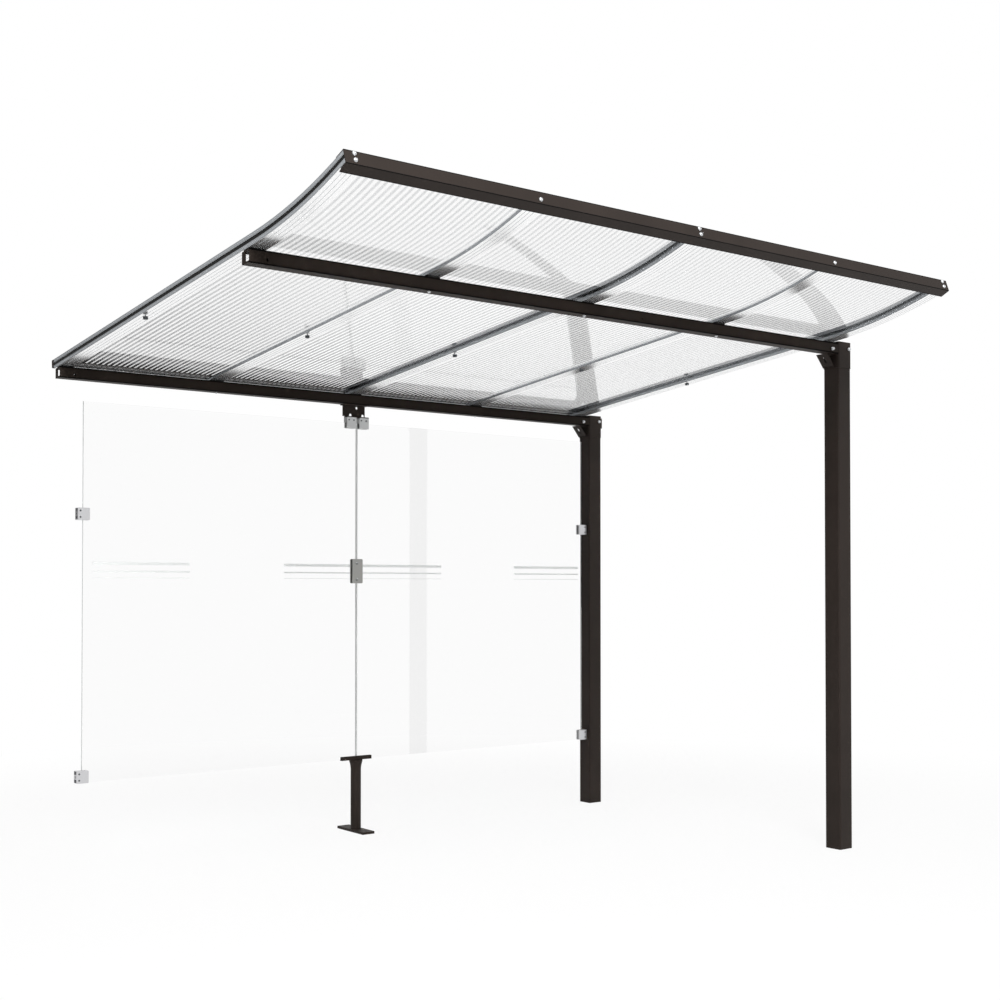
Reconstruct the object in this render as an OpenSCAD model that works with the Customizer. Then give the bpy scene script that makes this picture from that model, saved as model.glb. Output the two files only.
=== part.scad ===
// Extension bay of a cycle shelter: two posts, two purlins, five rafters, multiwall
// roof sheets that sweep up at the front, and a clamped glass back wall.
// Frame: +X runs along the purlins, +Y to the glass side, +Z up.
// Origin: centre of the front post's foot, on the ground.

/* [Bay] */
// Length of one bay, from one post's face to the next post's same face
bay_pitch = 2500; // [1800:10:3200]
// Distance between the centres of the front and rear posts
post_pitch = 1450; // [1100:10:2000]
// Clear height under the front purlin
clear_h = 1895; // [1750:1:2400]

/* [Posts] */
// Outer width of the square post tube
post_w = 72; // [60:1:100]
// Wall of the post tube
post_t = 3; // [2:0.5:6]
// Outer corner radius of the post tube
post_r = 6; // [3.5:0.5:10]
// Thickness of the plate that closes the post's foot
foot_plate_t = 8; // [4:1:15]
// Sheet thickness of the sleeve over the post's top
head_t = 2; // [2:0.5:5]
// Height of the sleeve over the post's top
head_h = 100; // [80:1:160]
// Rise of the sleeve's top over the purlin's front top edge
head_rise = 8; // [2:1:20]
// Length of the sleeve's tongue inside the purlin
tongue_l = 70; // [55:1:150]
// Play between the tongue and the purlin's inside
tongue_play = 0.5; // [0.2:0.1:1.5]
// Reach of the small lug on the rear head's free side
lug_l = 11; // [5:1:25]
// Height of that lug
lug_h = 47; // [25:1:60]

/* [Knee brackets] */
// Reach of the knee bracket under the purlin
knee_reach = 38; // [30:1:80]
// Drop of the knee bracket down the sleeve
knee_drop = 45; // [35:1:50]
// Width of the knee bracket, from the post's rear face forwards
knee_w = 54; // [30:1:60]
// Plate thickness of the knee bracket
knee_t = 3; // [2:0.5:6]
// Length of the slot in the knee's sloping plate
knee_slot_l = 28; // [15:1:34]
// Width of that slot
knee_slot_w = 8; // [6:0.5:14]

/* [Purlins] */
// Depth of the purlin, front to back
purlin_d = 45; // [35:1:80]
// Height of the purlin's front face
purlin_h = 40; // [38:1:80]
// Wall of the purlin
purlin_t = 3; // [2:0.5:5]
// Diameter of the purlin's bolt holes
purlin_hole_d = 9; // [6:0.5:12]
// Distance from the open end to the joint bolt hole
joint_hole_x = 56; // [35:1:90]
// Distance from the open end to the accessory bolt hole
spare_hole_x = 1472; // [200:1:1700]
// Width of the rounded opening in the purlin's end plate
end_slot_w = 23; // [12:1:26]
// Height of that opening
end_slot_h = 28; // [12:1:28]
// Length of the access opening in the back wall, at the joint bolt
access_l = 64; // [30:1:120]

/* [Roof] */
// Fall of the roof towards the back, in degrees
roof_slope = 5.7; // [3:0.1:9]
// Radius of the upswept front stretch, at the rafters' underside
bend_r = 1974; // [1200:1:4000]
// Turn of the upswept stretch, in degrees
bend_angle = 14.2; // [8:0.1:22]
// Distance from the front purlin's face to the start of the upsweep
bend_start = 31; // [5:1:80]
// Run of the rafters past the rear purlin
rear_overhang = 17; // [5:1:60]
// Gap between the roof's end and the post's sleeve
roof_gap = 25; // [5:1:40]

/* [Rafters] */
// Width of the aluminium rafters
rafter_w = 55; // [45:1:80]
// Height of the rafter's box under the sheets
rafter_h = 12; // [10:0.5:25]
// Height of the cover profile over the sheets
cap_h = 12; // [8:0.5:20]
// Wall of the extruded profiles
profile_t = 2; // [1.2:0.1:3]
// Width of the stem between the sheets
stem_w = 10; // [8:0.5:16]
// Height of the two intermediate rafters
mid_rafter_h = 9; // [6:0.5:10]
// Depth of the fine grooves in the profiles
groove_d = 0.8; // [0.3:0.1:1]
// Width of those grooves
groove_w = 2; // [1:0.5:3]
// Thickness of the pads between purlins and joint rafters
pad_t = 3; // [1:0.5:8]

/* [Sheets and seals] */
// Thickness of the twin-wall sheets
sheet_t = 10; // [6:1:16]
// Thickness of the multiwall sheet's outer skins
skin_t = 0.6; // [0.4:0.1:1.5]
// Thickness of the webs between its channels
web_t = 0.6; // [0.4:0.1:1.5]
// Distance from one web to the next
flute_pitch = 20.5; // [10:0.5:32]
// Thickness of the rubber strips that hold the sheets
seal_t = 0.5; // [0.5:0.5:2]
// Width of those strips
seal_w = 8; // [5:1:14]
// Gap between a sheet's edge and the rafter's stem
sheet_gap = 2; // [1:0.5:6]
// Depth of the rubber bead in the two outer slots
bead_w = 16; // [8:1:20]

/* [Edge profiles] */
// Sheet thickness of the fascia and of the rear edge
edge_t = 2.5; // [1.5:0.5:3]
// Depth of the fascia's upper flange
fascia_top = 35; // [20:1:60]
// Depth of the fascia's lower flange
fascia_low = 33; // [15:1:50]
// Drop of the fascia's lower flange at its rear edge
fascia_drop = 4.5; // [0:0.5:12]
// Depth of the rear edge tube
rear_tube_d = 19; // [12:1:40]
// Height of the rear edge tube, down from the roof's top
rear_tube_h = 29; // [18:1:33]
// Outer corner radius of the rear edge tube
rear_tube_r = 4; // [3.5:0.5:6]

/* [Glass wall] */
// Thickness of the glass panes
glass_t = 8; // [6:1:12]
// Height of the panes' lower edge over the ground
glass_z = 296; // [150:1:500]
// Offset of the glass joint, its hanger and its foot from the bay's middle
joint_shift = 4; // [-10:0.5:10]
// Gap between the two panes
glass_gap = 6; // [3:1:12]
// Length of a glass clamp, at right angles to the pane's edge
clamp_l = 45; // [40:1:70]
// Width of a glass clamp, along the pane's edge
clamp_w = 45; // [35:1:60]
// Wall of a clamp's jaw
clamp_t = 8; // [5:0.5:12]
// Depth of the pane in a clamp
clamp_grip = 22; // [14:1:24]
// Thickness of the rubber liner in the clamps
liner_t = 1; // [0.5:0.5:2]
// Thickness of the rubber pad between a side clamp and its post
clamp_pad = 3; // [1:0.5:6]
// Diameter of the bolt hole in a clamp's back
clamp_hole_d = 9; // [6:0.5:12]
// Gap between the two top clamps
top_clamp_gap = 14; // [8:1:40]
// Distance from the panes' upper edge down to the upper side clamps' centre
clamp_drop = 409; // [100:1:600]
// Distance from the panes' lower edge up to the lower side clamps
low_clamp_rise = -2; // [-5:1:180]

/* [Joint plates] */
// Width of the plates over the glass joint
joint_plate_w = 48; // [36:1:80]
// Height of those plates
joint_plate_h = 100; // [60:1:160]
// Thickness of one plate
joint_plate_t = 7; // [3:0.5:10]
// Corner radius of the plates
joint_plate_r = 5; // [1:0.5:10]
// Distance from the panes' upper edge down to the plates' centre
joint_plate_drop = 609; // [200:1:900]

/* [Glass hanger] */
// Width of the hanger's upright plate, centred under the middle rafter
hanger_w = 105; // [90:1:160]
// Drop from the rear purlin to the top clamps
hanger_drop = 52; // [40:1:90]
// Thickness of the hanger's plates
hanger_t = 4; // [3:0.5:8]
// Diameter of the hole in its upright plate
hanger_hole_d = 11; // [6:0.5:14]
// Width of the two arched notches over the clamps
arch_w = 13; // [8:1:20]
// Height of those notches
arch_h = 12; // [11:1:28]

/* [Glass foot] */
// Length of the cradle channel under the panes
cradle_l = 142; // [80:1:260]
// Wall of the cradle channel
cradle_t = 3; // [3:0.5:8]
// Lap of the cradle's walls over the panes' lower edge
cradle_lap = 11; // [3:0.5:20]
// Thickness of the rubber bed in the cradle
bed_t = 1; // [1:0.5:6]
// Outer diameter of the foot's column
column_d = 42.5; // [30:0.5:50]
// Wall of the column's tube
column_t = 3; // [2:0.5:6]
// Flare of the column on each side at its top
column_flare = 6; // [3:0.5:15]
// Height of the flare
flare_h = 35; // [20:1:90]
// Height of the straight collar over the flare
collar_h = 6; // [2:1:12]
// Width of the base plate
base_w = 55; // [54:1:120]
// Length of the base plate, front to back
base_l = 200; // [140:1:300]
// Thickness of the base plate
base_t = 10; // [5:1:15]
// Distance between the base plate's two anchor holes
base_hole_pitch = 160; // [110:1:260]
// Diameter of the anchor holes
base_hole_d = 11; // [8:0.5:16]

/* [Hidden] */
$fn = 48;
eps = 0.01;
steel = "#3a322e";
alu = "#aeb1b2";
black = "#1c1c1c";

// Posts and purlins, from the bay's sizes
head_w = post_w + 2 * head_t;
purlin_x0 = -post_w / 2 - bay_pitch;
purlin_x1 = -head_w / 2;
purlin_y0 = -head_w / 2;
slope_fall = post_pitch * tan(roof_slope);
front_top = clear_h + purlin_h;
rear_top = front_top - slope_fall;
rear_under = rear_top - purlin_h;
purlin_back_h = purlin_h - purlin_d * tan(roof_slope);

// The roof's own frame starts where the upsweep begins, at the rafters' underside.
// In it, Y runs back along the slope and Z stands square on the sheets
bend_y = purlin_y0 - bend_start;
bend_z = front_top + pad_t / cos(roof_slope) + bend_start * tan(roof_slope);
rear_run = (post_pitch + purlin_y0 + purlin_d + rear_overhang - bend_y) / cos(roof_slope);
slot_h = sheet_t + 2 * seal_t;
cap_z = rafter_h + slot_h;
roof_h = cap_z + cap_h;
mid_rafter_z = rafter_h + seal_t - mid_rafter_h;
roof_x0 = purlin_x0;
roof_x1 = purlin_x1 - roof_gap;
roof_l = roof_x1 - roof_x0;
rafter_x = [
    roof_x0 + rafter_w / 2,
    roof_x0 + roof_l / 4,
    roof_x0 + roof_l / 2,
    roof_x0 + roof_l * 3 / 4,
    roof_x1 - rafter_w / 2
];

// Glass wall
clamp_slot = glass_t + 2 * liner_t;
clamp_d = clamp_slot + 2 * clamp_t;
glass_y = post_pitch + purlin_y0 + purlin_d - clamp_d / 2;
joint_x = purlin_x0 + bay_pitch / 2 + joint_shift;
clamp_left_x = purlin_x0 + post_w + clamp_pad;
clamp_right_x = -post_w / 2 - clamp_pad;
glass_x0 = clamp_left_x + clamp_l - clamp_grip;
glass_x1 = clamp_right_x - clamp_l + clamp_grip;
top_clamp_z = rear_under - hanger_drop;
top_clamp_x = (clamp_w + top_clamp_gap) / 2;
glass_top = top_clamp_z - clamp_l + clamp_grip;
clamp_levels = [glass_z + low_clamp_rise + clamp_w / 2, glass_top - clamp_drop];

// Rectangle with round corners, centred
module rounded(w, h, r) {
    square([w - 2 * r, h], center = true);
    square([w, h - 2 * r], center = true);
    for (sx = [-1, 1], sy = [-1, 1])
        translate([sx * (w / 2 - r), sy * (h / 2 - r)]) circle(r);
}

// Extrudes an outline drawn in Y and Z along X, from x0 to x1
module along_x(x0, x1) {
    translate([x0, 0, 0]) rotate([90, 0, 90]) linear_extrude(x1 - x0) children();
}

// Hole along Y, from y = 0 towards the back
module hole_y(d, depth) {
    translate([0, -1, 0]) rotate([-90, 0, 0]) cylinder(d = d, h = depth + 2);
}

// ---- Posts ----

module post(top) {
    color(steel) difference() {
        linear_extrude(top) rounded(post_w, post_w, post_r);
        translate([0, 0, foot_plate_t]) linear_extrude(top)
            rounded(post_w - 2 * post_t, post_w - 2 * post_t, post_r - post_t);
    }
}

// Inside of the purlin, made smaller by a play on every side
module purlin_bore(play) {
    t = purlin_t + play;
    y1 = purlin_d - t;
    polygon([
        [t, t],
        [y1, t],
        [y1, purlin_h - y1 * tan(roof_slope) - t / cos(roof_slope)],
        [t, purlin_h - t * tan(roof_slope) - t / cos(roof_slope)]
    ]);
}

// Sleeve over a post's top, with the tongue that the purlin slides on
module post_head(top) {
    color(steel) {
        translate([0, 0, top + head_rise - head_h]) difference() {
            linear_extrude(head_h) rounded(head_w, head_w, post_r + head_t);
            translate([0, 0, -eps]) linear_extrude(head_h - head_t + eps)
                rounded(post_w, post_w, post_r);
        }
        translate([0, purlin_y0, top - purlin_h]) difference() {
            along_x(purlin_x1 - tongue_l, purlin_x1) purlin_bore(tongue_play);
            along_x(purlin_x1 - tongue_l - 1, purlin_x1 + 1)
                purlin_bore(tongue_play + purlin_t);
        }
    }
}

// Lug on the free side of a head, level with the purlin
module head_lug(top) {
    r = post_r + head_t;
    color(steel) translate([head_w / 2 - eps, -post_w / 2 + r, top + head_rise - lug_h - r])
        cube([lug_l + eps, head_t, lug_h]);
}

// Folded plate under the purlin and down to the sleeve's lower edge
module knee(top) {
    tilt = atan2(knee_drop, knee_reach);
    run = knee_t / sin(tilt);
    color(steel) translate([purlin_x1, post_w / 2, top - purlin_h]) difference() {
        rotate([90, 0, 0]) linear_extrude(knee_w) polygon([
            [0, 0], [-knee_reach - run, 0], [-run, -knee_drop], [-run, -knee_drop - knee_t],
            [0, -knee_drop - knee_t], [0, -knee_drop],
            [-knee_reach + knee_t / tan(tilt), -knee_t], [0, -knee_t]
        ]);
        translate([-(knee_reach + run) / 2, -knee_w / 2, -knee_drop / 2])
            rotate([0, tilt, 0]) linear_extrude(2 * knee_t, center = true)
                rounded(knee_slot_l, knee_slot_w, knee_slot_w / 2 - eps);
    }
}

// ---- Purlins ----

module purlin(top, y) {
    mid = purlin_h / 2;
    color(steel) translate([purlin_x0, y + purlin_y0, top - purlin_h]) difference() {
        along_x(0, purlin_x1 - purlin_x0) polygon([
            [0, 0], [purlin_d, 0], [purlin_d, purlin_back_h], [0, purlin_h]
        ]);
        along_x(purlin_t, purlin_x1 - purlin_x0 + 1) purlin_bore(0);
        along_x(-1, purlin_t + 1) translate([purlin_t + end_slot_w / 2, mid])
            rounded(end_slot_w, end_slot_h, 4);
        translate([purlin_t + 2 + access_l / 2, purlin_d + 1, mid - 2])
            rotate([90, 0, 0]) linear_extrude(purlin_t + 2)
                rounded(access_l, end_slot_h, 4);
        for (x = [joint_hole_x, spare_hole_x]) translate([x, 0, mid - 6])
            hole_y(purlin_hole_d, purlin_t);
    }
}

// Pads between the purlins and the rafters, thicker under the shallow rafters
module rafter_pads() {
    at = [purlin_y0, post_pitch + purlin_y0];
    color(black) roof_frame() for (i = [0:4], y = at) {
        h = i % 2 == 0 ? 0 : mid_rafter_z;
        translate([rafter_x[i] - rafter_w / 2 + 5, (y + 3 - bend_y) / cos(roof_slope), -pad_t])
            cube([rafter_w - 10, (purlin_d - 6) / cos(roof_slope), pad_t + h]);
    }
}

// ---- Roof ----

module roof_frame() {
    translate([0, bend_y, bend_z]) rotate([-roof_slope, 0, 0]) children();
}

// Carries on to the front end of the upsweep
module roof_front() {
    roof_frame() translate([0, 0, bend_r]) rotate([-bend_angle, 0, 0])
        translate([0, 0, -bend_r]) children();
}

// Sweeps an outline drawn in X and height along the roof: straight from the rear
// end, then round the upsweep to the front
module roof_sweep() {
    roof_frame() {
        translate([0, rear_run, 0]) rotate([90, 0, 0]) linear_extrude(rear_run) children();
        translate([0, 0, bend_r]) rotate([0, 90, 0])
            rotate_extrude(angle = bend_angle, start = -bend_angle, $fn = 240)
                translate([bend_r, 0]) rotate(90) children();
    }
}

// Box outline of an extruded profile, with a fine groove along each side
module box_profile(w, h) {
    t = profile_t;
    difference() {
        translate([-w / 2, 0]) square([w, h]);
        translate([t - w / 2, t]) square([w - 2 * t, h - 2 * t]);
        for (s = [-1, 1]) translate([s * w / 2, h / 2])
            square([2 * groove_d, groove_w], center = true);
    }
}

module under_grooves() {
    for (s = [-1, 0, 1]) translate([s * rafter_w / 4, 0])
        square([groove_w, 2 * groove_d], center = true);
}

// Joint rafter: a box with the stem that stands between two sheets
module joint_rafter(i) {
    color(alu) roof_sweep() translate([rafter_x[i], 0]) difference() {
        union() {
            box_profile(rafter_w, rafter_h);
            translate([-stem_w / 2, rafter_h - eps]) square([stem_w, slot_h + eps]);
        }
        translate([profile_t - stem_w / 2, rafter_h + profile_t])
            square([stem_w - 2 * profile_t, slot_h]);
        under_grooves();
    }
}

// Intermediate rafter: a shallow box under the sheet
module mid_rafter(i) {
    color(alu) roof_sweep() translate([rafter_x[i], mid_rafter_z]) difference() {
        box_profile(rafter_w, mid_rafter_h);
        under_grooves();
    }
}

module rafter_cap(i) {
    color(alu) roof_sweep() translate([rafter_x[i], cap_z]) box_profile(rafter_w, cap_h);
}

// Multiwall sheet: two skins joined by webs, open at the ends of its channels
module sheet(i0, i1) {
    w = rafter_x[i1] - rafter_x[i0] - stem_w - 2 * sheet_gap;
    n = floor((w - web_t) / flute_pitch);
    edge = (w - n * flute_pitch + web_t) / 2;
    color("#eef3f4", 0.6) roof_sweep()
        translate([rafter_x[i0] + stem_w / 2 + sheet_gap, rafter_h + seal_t]) difference() {
            square([w, sheet_t]);
            for (k = [0:n - 1]) translate([edge + k * flute_pitch, skin_t])
                square([flute_pitch - web_t, sheet_t - 2 * skin_t]);
        }
}

// Rubber strips under and over each sheet's edge, at the mouth of its slot
module sheet_seals() {
    color(black) roof_sweep()
        for (side = [[0, 1], [2, -1], [2, 1], [4, -1]], low = [0, 1])
            translate([
                rafter_x[side[0]] + side[1] * (rafter_w - seal_w) / 2 - seal_w / 2,
                rafter_h + low * (seal_t + sheet_t)
            ]) square([seal_w, seal_t]);
}

// Rubber beads that close the two outer slots
module edge_beads() {
    color(black) roof_sweep()
        for (side = [[0, -1], [4, 1]])
            translate([
                rafter_x[side[0]] + side[1] * (stem_w + bead_w) / 2 - bead_w / 2,
                rafter_h
            ]) square([bead_w, slot_h]);
}

// Channel over the front ends of rafters and sheets
module front_fascia() {
    t = edge_t;
    color(steel) roof_front() along_x(roof_x0, roof_x1) polygon([
        [-t, -t], [-t, roof_h + t], [fascia_top, roof_h + t], [fascia_top, roof_h],
        [0, roof_h], [0, 0], [fascia_low, -fascia_drop], [fascia_low, -fascia_drop - t]
    ]);
}

// Closed tube across the rear ends, level with the caps
module rear_edge_tube() {
    t = edge_t;
    color(steel) roof_frame()
        translate([0, rear_run + rear_tube_d / 2, roof_h - rear_tube_h / 2]) difference() {
            along_x(roof_x0, roof_x1) rounded(rear_tube_d, rear_tube_h, rear_tube_r);
            along_x(roof_x0 + t, roof_x1 - t)
                rounded(rear_tube_d - 2 * t, rear_tube_h - 2 * t, rear_tube_r - t);
        }
}

// ---- Glass wall ----

module pane(x0, x1) {
    color("#dfe7e8", 0.5) translate([x0, glass_y - glass_t / 2, glass_z])
        cube([x1 - x0, glass_t, glass_top - glass_z]);
}

// Glass clamp: two jaws and a back in one casting. Its back stands at X = 0 and
// its mouth opens towards +X. The back is hollowed above and below the bolt's boss
module clamp() {
    back = clamp_l - clamp_grip - liner_t;
    rim = 2.5;
    boss = clamp_hole_d + 8;
    pocket_h = (clamp_w - boss) / 2 - rim;
    difference() {
        rotate([90, 0, 0]) linear_extrude(clamp_d, center = true)
            translate([clamp_l / 2, 0]) rounded(clamp_l, clamp_w, 3);
        translate([back, -clamp_slot / 2, -clamp_w])
            cube([clamp_l, clamp_slot, 2 * clamp_w]);
        translate([-1, 0, 0]) rotate([0, 90, 0]) cylinder(d = clamp_hole_d, h = back + 2);
        for (s = [-1, 1])
            translate([-1, rim - clamp_d / 2, s * (boss + pocket_h) / 2 - pocket_h / 2])
                cube([back / 2 + 1, clamp_d - 2 * rim, pocket_h]);
    }
}

// Pad between the clamp's back and the post
module pad() {
    translate([-clamp_pad, 1 - clamp_d / 2, 1 - clamp_w / 2]) difference() {
        cube([clamp_pad, clamp_d - 2, clamp_w - 2]);
        translate([-1, clamp_d / 2 - 1, clamp_w / 2 - 1]) rotate([0, 90, 0])
            cylinder(d = clamp_hole_d, h = clamp_pad + 2);
    }
}

module liner() {
    x = clamp_l - clamp_grip;
    difference() {
        translate([x - liner_t, -clamp_slot / 2, 1 - clamp_w / 2])
            cube([clamp_grip + liner_t - 1, clamp_slot, clamp_w - 2]);
        translate([x, -glass_t / 2, -clamp_w]) cube([clamp_l, glass_t, 2 * clamp_w]);
    }
}

module at_left(z) { translate([clamp_left_x, glass_y, z]) children(); }
module at_right(z) { translate([clamp_right_x, glass_y, z]) mirror([1, 0, 0]) children(); }
module at_top(side) {
    translate([joint_x + side * top_clamp_x, glass_y, top_clamp_z]) rotate([0, 90, 0]) children();
}

module clamp_liners() {
    color(black) {
        for (z = clamp_levels) {
            at_left(z) liner();
            at_right(z) {
                liner();
                pad();
            }
        }
        for (side = [-1, 1]) at_top(side) liner();
    }
}

module joint_plate(side) {
    y = glass_y + side * (glass_t / 2 + liner_t + joint_plate_t / 2);
    color(alu) translate([joint_x, y, glass_top - joint_plate_drop]) rotate([90, 0, 0])
        linear_extrude(joint_plate_t, center = true) rounded(joint_plate_w, joint_plate_h, joint_plate_r);
}

module joint_plate_liners() {
    color(black) for (side = [-1, 1])
        translate([joint_x, glass_y + side * (glass_t + liner_t) / 2, glass_top - joint_plate_drop])
            cube([joint_plate_w - 2, liner_t, joint_plate_h - 2], center = true);
}

// Welded hanger under the rear purlin: an upright plate between two flanges, with
// an arched notch over each clamp
module glass_hanger() {
    t = hanger_t;
    web_h = hanger_drop - 2 * t;
    x_mid = rafter_x[2] + joint_shift;
    clamps_w = 2 * top_clamp_x + clamp_w;
    color(steel) {
        translate([x_mid - hanger_w / 2 - t, post_pitch + purlin_y0, rear_under - t])
            cube([hanger_w + 2 * t, purlin_d, t]);
        translate([0, glass_y + t / 2, top_clamp_z + t]) rotate([90, 0, 0]) linear_extrude(t)
            difference() {
                translate([x_mid - hanger_w / 2, -eps]) square([hanger_w, web_h + 2 * eps]);
                translate([joint_x, web_h - hanger_hole_d / 2 - 2]) circle(d = hanger_hole_d);
                for (side = [-1, 1]) translate([joint_x + side * top_clamp_x, 0]) {
                    translate([-arch_w / 2, -1]) square([arch_w, arch_h - arch_w / 2 + 1]);
                    translate([0, arch_h - arch_w / 2]) circle(d = arch_w);
                }
            }
        translate([joint_x - clamps_w / 2, glass_y - clamp_d / 2, top_clamp_z])
            cube([clamps_w, clamp_d, t]);
    }
}

// Foot under the glass joint: base plate, flared column and cradle channel
cradle_d = glass_t + 2 * liner_t + 2 * cradle_t;
cradle_z = glass_z - bed_t - cradle_t;

module glass_foot() {
    flare_r = (flare_h * flare_h + column_flare * column_flare) / (2 * column_flare);
    flare_z = cradle_z - collar_h - flare_h;
    r = column_d / 2;
    color(steel) translate([joint_x, glass_y, 0]) {
        difference() {
            translate([-base_w / 2, -base_l / 2, 0]) cube([base_w, base_l, base_t]);
            for (s = [-1, 1]) translate([0, s * base_hole_pitch / 2, -1])
                cylinder(d = base_hole_d, h = base_t + 2);
        }
        translate([0, 0, base_t - eps]) rotate_extrude() translate([0, -base_t])
            difference() {
                translate([r - column_t, base_t])
                    square([column_t + column_flare, cradle_z - base_t]);
                translate([r, 0]) square([2 * column_flare, flare_z]);
                translate([r + flare_r, flare_z]) circle(flare_r, $fn = 360);
            }
        translate([-cradle_l / 2, 0, cradle_z - eps]) rotate([90, 0, 90])
            linear_extrude(cradle_l) difference() {
                translate([-cradle_d / 2, 0])
                    square([cradle_d, cradle_t + bed_t + cradle_lap + eps]);
                translate([cradle_t - cradle_d / 2, cradle_t + eps])
                    square([cradle_d - 2 * cradle_t, bed_t + cradle_lap + 1]);
            }
    }
}

// Rubber bed round the panes' lower edge in the cradle
module cradle_bed() {
    d = glass_t + 2 * liner_t;
    color(black) difference() {
        translate([joint_x - cradle_l / 2 + 1, glass_y - d / 2, glass_z - bed_t])
            cube([cradle_l - 2, d, bed_t + cradle_lap]);
        for (side = [-1, 1])
            translate([joint_x + (side < 0 ? -cradle_l : glass_gap / 2), glass_y - glass_t / 2, glass_z])
                cube([cradle_l - glass_gap / 2, glass_t, cradle_lap + 1]);
    }
}

post(front_top + head_rise - head_t);  // front_post
translate([0, post_pitch, 0]) post(rear_top + head_rise - head_t);  // rear_post
post_head(front_top);  // front_post_head
translate([0, post_pitch, 0]) {  // rear_post_head
    post_head(rear_top);
    head_lug(rear_top);
}
knee(front_top);  // front_knee
translate([0, post_pitch, 0]) knee(rear_top);  // rear_knee
purlin(front_top, 0);  // front_purlin
purlin(rear_top, post_pitch);  // rear_purlin
rafter_pads();
joint_rafter(0);  // rafter_1
mid_rafter(1);  // rafter_2
joint_rafter(2);  // rafter_3
mid_rafter(3);  // rafter_4
joint_rafter(4);  // rafter_5
rafter_cap(0);  // rafter_cap_1
rafter_cap(2);  // rafter_cap_3
rafter_cap(4);  // rafter_cap_5
sheet(0, 2);  // sheet_left
sheet(2, 4);  // sheet_right
sheet_seals();
edge_beads();
front_fascia();
rear_edge_tube();
pane(glass_x0, joint_x - glass_gap / 2);  // glass_left
pane(joint_x + glass_gap / 2, glass_x1);  // glass_right
color(alu) at_left(clamp_levels[1]) clamp();  // clamp_left_upper
color(alu) at_left(clamp_levels[0]) clamp();  // clamp_left_lower
color(alu) at_right(clamp_levels[1]) clamp();  // clamp_right_upper
color(alu) at_right(clamp_levels[0]) clamp();  // clamp_right_lower
color(alu) at_top(-1) clamp();  // clamp_top_left
color(alu) at_top(1) clamp();  // clamp_top_right
clamp_liners();
joint_plate(-1);  // joint_plate_front
joint_plate(1);  // joint_plate_rear
joint_plate_liners();
glass_hanger();
glass_foot();
cradle_bed();
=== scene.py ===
"""Bicycle shelter extension bay: finishes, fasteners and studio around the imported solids.

Lengths are metres in the part's own frame: +X runs along the purlins to the posts, +Y from
the open front to the glass wall, +Z is up, and the front post stands on the origin.
"""

import math

import bmesh
import bpy
from mathutils import Matrix, Vector


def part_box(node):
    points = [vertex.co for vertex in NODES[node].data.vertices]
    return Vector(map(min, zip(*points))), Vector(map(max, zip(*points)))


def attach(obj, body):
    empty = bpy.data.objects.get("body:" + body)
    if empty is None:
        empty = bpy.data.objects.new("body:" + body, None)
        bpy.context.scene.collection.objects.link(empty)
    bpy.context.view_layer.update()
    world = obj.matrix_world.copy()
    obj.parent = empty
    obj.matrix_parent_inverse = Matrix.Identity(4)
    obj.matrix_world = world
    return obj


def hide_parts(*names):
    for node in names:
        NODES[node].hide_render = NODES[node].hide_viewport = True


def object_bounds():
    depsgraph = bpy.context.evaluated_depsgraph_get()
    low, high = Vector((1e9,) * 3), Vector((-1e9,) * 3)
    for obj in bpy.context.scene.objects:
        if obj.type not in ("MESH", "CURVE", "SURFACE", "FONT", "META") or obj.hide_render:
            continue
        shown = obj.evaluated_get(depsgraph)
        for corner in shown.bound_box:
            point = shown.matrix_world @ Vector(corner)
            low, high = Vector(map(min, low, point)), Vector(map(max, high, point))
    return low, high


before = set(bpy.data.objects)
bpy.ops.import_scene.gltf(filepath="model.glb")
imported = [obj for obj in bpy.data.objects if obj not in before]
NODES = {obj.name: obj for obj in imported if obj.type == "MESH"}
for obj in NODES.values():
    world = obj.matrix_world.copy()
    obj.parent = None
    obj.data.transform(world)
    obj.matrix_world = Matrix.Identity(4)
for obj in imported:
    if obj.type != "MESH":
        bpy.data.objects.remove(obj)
CAD_BOX = [list(map(float, corner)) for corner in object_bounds()]

bl_info = {
    "name": "Cycle shelter bay",
    "version": (1, 0, 0),
    "blender": (4, 5, 0),
    "location": "View3D > Sidebar > Shelter",
    "description": "Finishes, fasteners and studio for a lean-to cycle shelter bay",
    "category": "Object",
}

MM = 0.001

# The roof line, as the solids have it: a straight slope and an upsweep at the front
POST_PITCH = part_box("rear_post")[0].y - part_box("front_post")[0].y
PURLIN_LOW, PURLIN_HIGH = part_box("front_purlin")
REAR_PURLIN_LOW, REAR_PURLIN_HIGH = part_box("rear_purlin")
ROOF_SLOPE = math.atan((PURLIN_HIGH.z - REAR_PURLIN_HIGH.z) / POST_PITCH)
BEND_START = 31 * MM
BEND_R = 1974 * MM
BEND_ANGLE = math.radians(14.2)
PAD_T = 3 * MM
ROOF_H = 35 * MM
FASCIA_T = 2.5 * MM
FRONT_END = -BEND_ANGLE * BEND_R
BEND_Y = PURLIN_LOW.y - BEND_START
BEND_Z = PURLIN_HIGH.z + PAD_T / math.cos(ROOF_SLOPE) + BEND_START * math.tan(ROOF_SLOPE)
# the roof's own frame, where the upsweep starts: Y runs back, Z is square on the sheets
ROOF = Matrix.Translation((0, BEND_Y, BEND_Z)) @ Matrix.Rotation(-ROOF_SLOPE, 4, "X")

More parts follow.
